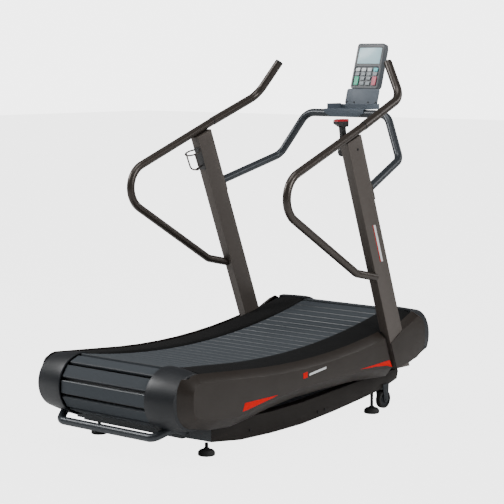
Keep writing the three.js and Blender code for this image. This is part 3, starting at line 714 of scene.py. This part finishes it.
@dataclass
class FootRails:
    """The long crowned rails beside the belt, with a coarse non-slip surface."""

    deck: DeckArc
    rear: float = -699.6
    front: float = 621.6
    section: tuple[tuple[float, float], ...] = (
        (231.5, -24), (361.5, -24), (361.5, -14), (379.5, -14), (379.5, -6), (368, -2),
        (335, 4), (280, 7.8), (246, 7.6), (231.5, 5),
    )

    def build(self) -> None:
        """Sweeps the section along the deck's arc."""
        outline = rounded(list(self.section), 2)
        stations = 90
        for side, sign in SIDES.items():
            rail = Mesher(f"foot_rail_skin_{side}").paint(TREAD)
            rings = []
            for i in range(stations + 1):
                y = self.rear + (self.front - self.rear) * i / stations
                base = self.deck.rail_z(y)
                rings.append([Vector((x, y, base + z)) for x, z in outline])
            rail.skin(rings, closed=False, capped=True)
            rail.piece(replaces=[f"foot_rail_{side}"], slot="tread", mirrored=sign < 0)


# ---------------------------------------------------------------- tubes


@dataclass(frozen=True)
class Upright:
    """Lean and splay of the two uprights, measured on the right one."""

    slope: float = 0.3736
    splay: float = 0.0153
    foot_y: float = 461.0
    foot_z: float = 203.0
    depth: float = 98.85
    outer: float = 411.5
    inner: float = 370.5

    @property
    def lean(self) -> float:
        """Angle of the upright from the vertical."""
        return math.atan(self.slope)

    def rear_y(self, z: float) -> float:
        """Rear face at a height."""
        return self.foot_y - self.slope * (z - self.foot_z)

    def front_y(self, z: float) -> float:
        """Front face at a height."""
        return self.rear_y(z) + self.depth

    def outer_x(self, z: float) -> float:
        """Outer face at a height."""
        return self.outer + self.splay * (z - self.foot_z)

    @property
    def turn(self) -> Matrix:
        """Turns an upright block to the lean."""
        return Matrix.Rotation(self.lean, 3, "X")


@dataclass
class Tubework:
    """Handrail loops, horns, console bar and lift handle."""

    upright: Upright
    rail_radius: float = 16.5
    horn_radius: float = 18.0
    bar_radius: float = 17.0
    lift_radius: float = 16.0

    def _handrail(self, side: str, sign: float) -> None:
        """One loop from the upright back and up to the horn's seam."""
        corners = [Vector(p) for p in ((408, 318, 604), (406, 192, 631), (424, -392, 981), (411, 223, 1225))]
        line = bent(corners, [60, 100], 5)
        rail = Mesher(f"handrail_loop_{side}").paint(TUBE_PAINT).tube(line, self.rail_radius, 40)
        rail.piece(replaces=[f"handrail_{side}"], slot="black_paint", mirrored=sign < 0)
        along = (corners[3] - corners[2]).normalized()
        seam = Mesher(f"handrail_collar_{side}").paint(BLACK_PAINT)
        seam.tube([corners[3] - along * 2.4, corners[3] + along * 1.0], self.rail_radius + 0.3, 40)
        seam.piece(slot="black_paint", mirrored=sign < 0)

    def _horn(self, side: str, sign: float) -> None:
        """One forward horn with a domed plug."""
        seam = Vector((411, 223, 1225))
        start = seam + (seam - Vector((424, -392, 981))).normalized() * 1.2
        tip = Vector((295, 540, 1483))
        line = bent([start, Vector((391, 501, 1336)), tip], [90], 4)
        way = (line[-1] - line[-2]).normalized()
        line[-1] = tip - way * 4.5
        horn = Mesher(f"horn_tube_{side}").paint(TUBE_PAINT).tube(line, self.horn_radius, 40)
        plug = [(tip - way * 4.5, 17.6), (tip - way * 4.2, 16.9), (tip - way * 3.6, 17.7)]
        plug += [(tip - way * 1.4, 17.4), (tip - way * 0.4, 14.5), (tip, 8.0)]
        horn.paint(LEVER).tube([p for p, _ in plug], [r for _, r in plug], 40)
        horn.piece(replaces=[f"horn_{side}"], slot="black_paint", mirrored=sign < 0)

    def _console_bar(self) -> None:
        """The cross bar on its two rising legs, with bolted flanges."""
        half = [Vector(p) for p in ((402, 266, 965), (328, 586, 1073), (221, 641, 1259))]
        far = [Vector((-p.x, p.y, p.z)) for p in reversed(half)]
        line = bent([*half, *far], [60, 70, 70, 60], 4)
        bar = Mesher("console_cross_bar").paint(COOL_TUBE).tube(line, self.bar_radius, 40)
        bar.piece(replaces=["console_bar"], slot="black_paint")
        flanges = Mesher("console_bar_flanges").paint(TUBE_PAINT)
        z = 958.0
        y = self.upright.front_y(z) + 4.5
        for sign in SIDES.values():
            x = sign * 403.0
            flanges.block((x - 19, y - 2.5, z - 33), (x + 19, y + 2.5, z + 33), self.upright.turn)
            for rise in (-25, 25):
                middle = Vector((x, y, z)) + self.upright.turn @ Vector((0, 2.0, rise))
                way = self.upright.turn @ Vector((0, 1, 0))
                flanges.tube([middle, middle + way * 3.4], 5.0, 6)
        flanges.piece(slot="black_paint", bevel=1.0)

    def _lift_handle(self) -> None:
        """The wide handle at the rear."""
        half = [Vector(p) for p in ((283, -699.4, 110), (290, -764, 134), (252, -832, 101))]
        far = [Vector((-p.x, p.y, p.z)) for p in reversed(half)]
        line = bent([*half, *far], [50, 40, 40, 50], 4)
        handle = Mesher("lift_handle_tube").paint(COOL_TUBE).tube(line, self.lift_radius, 40)
        handle.piece(replaces=["lift_handle"], slot="black_paint")

    def build(self) -> None:
        """Makes every tube."""
        for side, sign in SIDES.items():
            self._handrail(side, sign)
            self._horn(side, sign)
        self._console_bar()
        self._lift_handle()


# ---------------------------------------------------------------- body work


@dataclass
class KeptNodes:
    """CAD nodes shown as they are, with finer edges and their finishes."""

    finishes: dict[str, tuple[Finish, float]]

    def _sides(self, name: str) -> list[str]:
        """The nodes that a name stands for."""
        return [name] if name in frame["nodes"] else [f"{name}_right", f"{name}_left"]

    def build(self) -> None:
        """Welds, cleans and rounds each node with modifiers, and gives it its finish."""
        for name, (finish, bevel) in self.finishes.items():
            for node in self._sides(name):
                piece = frame["nodes"][node]
                piece.data.materials.clear()
                piece.data.materials.append(finish.material())
                weld = piece.modifiers.new("weld", "WELD")
                weld.merge_threshold = 0.00001
                flat = piece.modifiers.new("flat", "DECIMATE")
                flat.decimate_type = "DISSOLVE"
                flat.angle_limit = math.radians(0.6)
                if bevel:
                    add_bevel(piece, bevel)
                smooth_by_angle(piece.data, 30)


@dataclass
class Trim:
    """Bolts, accents and plain badges on the body."""

    upright: Upright
    face_x: float = 410.0
    crown_bolt_z: float = 1134.0

    def _bolt(self, mesher: Mesher, at: Point, way: Point, radius: float, height: float) -> None:
        """A flanged hexagon bolt head."""
        start = Vector(at)
        along = Vector(way)
        mesher.tube([start, start + along * 1.6], radius * 1.35, 24)
        mesher.tube([start + along * 1.6, start + along * height], radius, 6)

    def _accents(self) -> None:
        """Red corner flashes on the side panels, in red paint with a faint painted glow."""
        rear = [(-510, 173), (-497, 204), (-304, 206), (-350, 197), (-431, 184), (-480, 176)]
        front = [(219, 234), (418, 246), (435, 215), (400, 225), (330, 231)]
        for side, sign in SIDES.items():
            mesher = Mesher(f"panel_accents_{side}").paint(RED_PAINT_WITH_PAINTED_GLOW)
            for outline in (rear, front):
                start = Vector((self.face_x - 0.2, 0, 0))
                mesher.prism(outline, start, AHEAD, UP, Vector((0.7, 0, 0)))
            mesher.piece(slot="brown_paint", mirrored=sign < 0)

    def _badges(self) -> None:
        """Plain pale strips on the panels and uprights."""
        low, high = 668.0, 822.0
        thin = Vector((0.6, 0, 0))
        for side, sign in SIDES.items():
            mesher = Mesher(f"badges_{side}").paint(PALE)
            start = Vector((self.face_x - 0.2, 0, 0))
            mesher.prism([(-112, 254), (-6, 268), (-6, 277), (-112, 263)], start, AHEAD, UP, thin)
            slant = self.upright.splay
            # the thin red stripe is in red paint with a faint painted glow
            for finish, near, wide in ((PALE, 54.0, 13.0), (RED_PAINT_WITH_PAINTED_GLOW, 48.0, 2.5)):
                rear, crown = self.upright.rear_y(low) + near, self.upright.rear_y(high) + near
                outline = [(rear, 0), (rear + wide, 0), (crown + wide, high - low), (crown, high - low)]
                start = Vector((self.upright.outer_x(low) - 0.2, 0, low))
                mesher.paint(finish).prism(outline, start, AHEAD, UP + Vector((slant, 0, 0)), thin)
            start = Vector((self.face_x - 0.2, 0, 0))
            # the emblem keeps the last finish, red paint with a faint painted glow
            emblem = [(-150, 247), (-124, 250), (-124, 272), (-150, 269)]
            mesher.prism(emblem, start, AHEAD, UP, Vector((0.7, 0, 0)))
            mesher.piece(slot="brown_paint", mirrored=sign < 0)

    def _bolts(self) -> None:
        """Bolts on the beams, wheel brackets and upright tops."""
        for side, sign in SIDES.items():
            mesher = Mesher(f"bolts_{side}").paint(DARK_STEEL)
            for y, z in ((-350, 60), (70, 66), (115, 70)):
                self._bolt(mesher, (307, y, z), (1, 0, 0), 4.5, 3.6)
            z = self.crown_bolt_z
            place = (self.upright.outer_x(z) - 0.2, self.upright.rear_y(z) + 57, z)
            self._bolt(mesher, place, (1, 0, 0), 4.0, 2.6)
            mesher.piece(slot="steel", mirrored=sign < 0, bevel=0.5)

    def build(self) -> None:
        """Makes the trim."""
        self._accents()
        self._badges()
        self._bolts()


# ---------------------------------------------------------------- console


@dataclass
class Console:
    """Fine parts of the console: the bracket's screws and a frame round the screen."""

    lean: float = math.radians(16.4)
    at: Point = (0.0, 763.0, 1364.0)

    @property
    def turn(self) -> Matrix:
        """Turns console axes (right, up the face, out of it) into the row frame."""
        return Matrix.Rotation(math.pi / 2 - self.lean, 3, "X")

    def _put(self, place: Point) -> Vector:
        """A console point in the row frame."""
        return Vector(self.at) + self.turn @ Vector(place)

    def build(self) -> None:
        """Makes the screws and the screen surround."""
        screws = Mesher("bracket_screws").paint(BLACK_PAINT)
        out = self.turn @ Vector((0, 0, 1))
        for x in (-80, -38, 38, 80):
            start = self._put((x, -62, 0))
            screws.tube([start, start + out * 1.2, start + out * 1.8], [4.4, 4.4, 3.0], 20)
        screws.piece(slot="steel")
        ring = Mesher("screen_surround").paint(LEVER)
        outer = [(-65, 111), (65, 111), (65, 190), (-65, 190)]
        inner = [(-62.6, 113.4), (62.6, 113.4), (62.6, 187.6), (-62.6, 187.6)]
        rings = [
            [self._put((x, y, level)) for x, y in outline]
            for outline, level in ((outer, 0.0), (outer, 0.8), (inner, 0.8), (inner, 0.0))
        ]
        ring.skin(rings, closed=True, capped=False)
        ring.piece(slot="grey_plastic")


# ---------------------------------------------------------------- lever and cage


@dataclass
class BrakeLever:
    """The lever on the right upright, with its red capped knob."""

    pivot: Point = (355.0, 159.0, 1125.0)

    def build(self) -> None:
        """Makes the hub on the frame and the arm on its own body."""
        _, y, z = self.pivot
        low, high = corner_of("lever_hub", False, 0), corner_of("lever_hub", True, 0)
        hub = Mesher("lever_pivot_hub").paint(LEVER)
        profile = [(low, 0.5), (low, 23), (low + 1.5, 25.5), (low + 6, 28.4), (high, 28.9), (high, 0.5)]
        hub.lathe(profile, (0, y, z), sides=64)
        hub.piece(replaces=["lever_hub"], slot="lever_plastic")
        arm = Mesher("lever_grip").paint(LEVER)
        disc = [(345, 0.5), (345, 17), (347, 20), (350, 20.8), (366, 20.8), (367.4, 20), (367.4, 0.5)]
        arm.lathe(disc, (0, y, z), sides=64)
        blade = rounded([(-7, 0), (20, 0), (19, 60), (13, 105), (-16, 105), (-8, 60)], 1)
        start = Vector((347.5, y, z))
        arm.prism(blade, start, AHEAD, UP, Vector((15, 0, 0)))
        handle = start - Vector((5, 0, 0))
        width = Vector((25, 0, 0))
        grip = [(-45, 120), (-43.5, 112), (-26, 104), (-14, 98), (22, 98), (26, 104), (27, 120)]
        arm.prism(grip, handle, AHEAD, UP, width)
        cap = [(-45, 120.4), (27, 120.4), (27, 127), (23, 130), (-28, 130), (-43.5, 126)]
        arm.paint(CRIMSON).prism(cap, handle, AHEAD, UP, width)
        arm.piece("lever_arm", replaces=["lever_arm"], slot="lever_plastic", bevel=0.8)


@dataclass
class BottleCage:
    """The ring, wire loop and band on the left upright."""

    upright: Upright
    z: float = 1108.0
    wire: float = 3.5

    def _put(self, place: Point) -> Vector:
        """A cage point in the row frame, drawn for the right side."""
        origin = Vector((401, self.upright.rear_y(self.z) - 0.3, self.z))
        return origin + self.upright.turn @ Vector(place)

    def build(self) -> None:
        """Makes the cage, mirrored to the left."""
        cage = Mesher("bottle_cage_wire").paint(TUBE_PAINT)
        count = 72
        rings = []
        for i in range(count):
            a = 2 * math.pi * i / count
            way = Vector((math.cos(a), math.sin(a), 0))
            middle = Vector((0, -36, 0)) + way * 32.5
            ring = []
            for k in range(16):
                b = 2 * math.pi * k / 16
                spot = middle + (way * math.cos(b) + Vector((0, 0, 1)) * math.sin(b)) * self.wire
                ring.append(self._put(tuple(spot)))
            rings.append(ring)
        cage.skin(rings, closed=True, capped=False)
        loop = [self._put(p) for p in ((-26, -50, 0), (-26, -46, -75), (26, -46, -75), (26, -50, 0))]
        cage.tube(bent(loop, [16, 16], 9), self.wire, 16)
        cage.tube([self._put((0, -46, -75)), self._put((0, -5, -75))], self.wire, 16)
        cage.piece(replaces=["bottle_cage"], slot="black_paint", mirrored=True)
        band = Mesher("bottle_cage_band").paint(LEVER)
        for low, high in (((-19, -5, -92), (19, 0, 8)), ((-12, -9, -4), (12, -4.6, 4))):
            middle = tuple((a + b) / 2 for a, b in zip(low, high, strict=True))
            size = tuple(b - a for a, b in zip(low, high, strict=True))
            spot = self._put(middle)
            half = Vector(size) / 2
            band.block(tuple(spot - half), tuple(spot + half), self.upright.turn)
        band.piece(slot="lever_plastic", mirrored=True, bevel=1.5)


# ---------------------------------------------------------------- floor gear


@dataclass
class FloorGear:
    """Levelling feet with lock nuts, and the transport wheels."""

    foot_x: float = 291.5
    feet: tuple[tuple[str, float], ...] = (("rear", -584.0), ("front", 453.5))

    def _foot(self, end: str, y: float, side: str, sign: float) -> None:
        """One round pad on a threaded stud."""
        node = f"{end}_foot_{side}"
        top = corner_of(node, True, 2)
        pad = Mesher(f"{end}_foot_pad_{side}").paint(RUBBER)
        profile = [(0, 0.5), (0, 29), (1.5, 32), (4, 33), (13, 33), (15.5, 32), (20, 28), (22, 26), (22, 0.5)]
        pad.lathe(profile, (self.foot_x, y, 0), (0, 0, 1), 56)
        stud = [Vector((self.foot_x, y, 22 + (top - 22) * i / 40)) for i in range(41)]
        pad.paint(DARK_STEEL).tube(stud, [7.0 if i % 2 else 6.2 for i in range(41)], 20)
        nut = [(22.2, 12), (30, 12)]
        pad.tube([Vector((self.foot_x, y, z)) for z, _ in nut], [r for _, r in nut], 6)
        pad.piece(node, replaces=[node], slot="black_rubber", mirrored=sign < 0)

    def _wheel(self, side: str, sign: float) -> None:
        """One transport wheel with a rounded tread and a stepped hub."""
        node = f"transport_wheel_{side}"
        low = corner_of("transport_wheel_right", False, 0)
        high = corner_of("transport_wheel_right", True, 0)
        middle = centre_of("transport_wheel_right")
        wheel = Mesher(f"wheel_tread_{side}").paint(RUBBER)
        tread = [(low, 29), (low, 35), (low + 2, 38), (low + 5, 39), (high - 5, 39), (high - 2, 38)]
        wheel.lathe([*tread, (high, 35), (high, 29)], (0, middle.y, middle.z))
        hub = [(low, 6.8), (low, 28.6), (high - 4, 28.6), (high - 4, 16), (high - 1, 13), (high - 1, 6.8)]
        wheel.paint(BLACK_PAINT).lathe(hub, (0, middle.y, middle.z))
        wheel.piece(node, replaces=[node], slot="black_rubber", mirrored=sign < 0)

    def build(self) -> None:
        """Makes feet and wheels on both sides."""
        for side, sign in SIDES.items():
            for end, y in self.feet:
                self._foot(end, y, side, sign)
            self._wheel(side, sign)


# ---------------------------------------------------------------- studio


@dataclass
class Studio:
    """White floor and soft light round the object, with one camera."""

    lens: float = 122.56
    eye: Point = (4.6096, -5.2881, 1.4992)
    back: Point = (0.6519, -0.7499, 0.1125)
    white: float = 4.5
    soft: float = 0.16
    floor_glow: float = 0.8

    def _light(self, name: str, at: Point, size: float, energy: float) -> None:
        """One square area light that faces the object's middle."""
        lamp = bpy.data.lights.new(name, "AREA")
        lamp.size = size
        lamp.energy = energy
        thing = bpy.data.objects.new(name, lamp)
        thing.location = at
        thing.rotation_euler = (Vector((0, 0, 0.6)) - Vector(at)).to_track_quat("-Z", "Y").to_euler()
        bpy.context.scene.collection.objects.link(thing)

    def _world(self) -> None:
        """White surroundings that light the object only softly."""
        world = bpy.data.worlds.new("studio")
        graph = Graph(world)
        dim, bright = (
            graph.add("ShaderNodeBackground", {"Color": (1.0, 1.0, 1.0, 1.0), "Strength": level})
            for level in (self.soft, self.white)
        )
        both = graph.add("ShaderNodeMixShader", {0: graph.seen(), 1: dim, 2: bright})
        graph.end(both, "ShaderNodeOutputWorld")
        bpy.context.scene.world = world

    def _floor(self) -> None:
        """A wide pale floor."""
        mesher = Mesher("studio_floor")
        mesher.block((-30000, -30000, -20), (30000, 30000, -0.5))
        floor = mesher.piece()
        white = bpy.data.materials.new("studio_floor_white")
        graph = Graph(white)
        matt = graph.add("ShaderNodeBsdfDiffuse", {"Color": (0.97, 0.97, 0.97, 1.0)})
        glow = graph.add("ShaderNodeEmission", {"Color": (1.0, 1.0, 1.0, 1.0), "Strength": self.white})
        share = graph.seen() * self.floor_glow
        graph.end(graph.add("ShaderNodeMixShader", {0: share, 1: matt, 2: glow}))
        floor.data.materials.append(white)
        floor.parent = None
        del floor["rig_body"]

    def build(self) -> None:
        """Sets the stage."""
        self._world()
        self._floor()
        self._light("key", (5.5, 0.5, 3.0), 2.5, 210.0)
        self._light("top", (0.0, -1.0, 5.5), 3.0, 130.0)
        self._light("softbox", (-3.26, -2.75, 3.55), 2.0, 170.0)
        self._light("rim", (3.0, 4.5, 3.0), 2.0, 60.0)
        camera = bpy.data.cameras.new("camera")
        camera.lens = self.lens
        camera.sensor_width = 36.0
        thing = bpy.data.objects.new("camera", camera)
        back = Vector(self.back).normalized()
        right = Vector((0, 0, 1)).cross(back).normalized()
        up = back.cross(right)
        turn = Matrix((right, up, back)).transposed()
        thing.matrix_world = Matrix.Translation(self.eye) @ turn.to_4x4()
        bpy.context.scene.collection.objects.link(thing)
        bpy.context.scene.camera = thing


KEPT: dict[str, tuple[Finish, float]] = {
    "side_beam": (BEAM, 2.0),
    "rear_cross_member": (BLACK_PAINT, 1.5),
    "front_cross_member": (BLACK_PAINT, 1.5),
    "chassis_plate": (BLACK_PAINT, 0.8),
    "rear_drum": (IRON, 1.0),
    "front_drum": (IRON, 1.0),
    "flywheel": (IRON, 1.0),
    "magnet_yoke": (STEEL, 0.6),
    "drive_belt": (RUBBER, 0.0),
    "side_panel": (PANEL, 0.6),
    "front_side_cover": (PANEL, 1.0),
    "post": (BROWN, 3.0),
    "console_tray": (SHEET, 0.6),
    "console_bracket": (SHEET, 0.8),
    "console_housing": (GREY, 2.5),
    "console_back": (GREY, 2.0),
    # the screen finish glows: painted light
    "screen": (DISPLAY_WITH_PAINTED_GLOW, 0.3),
    "wheel_bracket": (BLACK_PAINT, 0.8),
}
KEY_FINISHES = [
    *[KEY_WHITE] * 3,
    KEY_CYAN,
    *[KEY_GREY] * 4,
    KEY_GREEN,
    *[KEY_GREY] * 2,
    KEY_RED,
    *[KEY_GREY] * 2,
]


def main() -> None:
    """Builds every sub-assembly in order."""
    logging.basicConfig(level=logging.INFO, format="%(message)s")
    deck = DeckArc()
    upright = Upright()
    keys = {f"key_{i + 1:02d}": (finish, 0.9) for i, finish in enumerate(KEY_FINISHES)}
    steps: list[tuple[str, Callable[[], None]]] = [
        ("kept nodes", KeptNodes({**KEPT, **keys}).build),
        ("slat deck", SlatDeck(deck).build),
        ("end caps", EndCaps().build),
        ("foot rails", FootRails(deck).build),
        ("tubework", Tubework(upright).build),
        ("trim", Trim(upright).build),
        ("console", Console().build),
        ("brake lever", BrakeLever().build),
        ("bottle cage", BottleCage(upright).build),
        ("floor gear", FloorGear().build),
        ("studio", Studio().build),
    ]
    for name, build in steps:
        LOG.info("building %s", name)
        build()


if __name__ == "__main__":
    main()
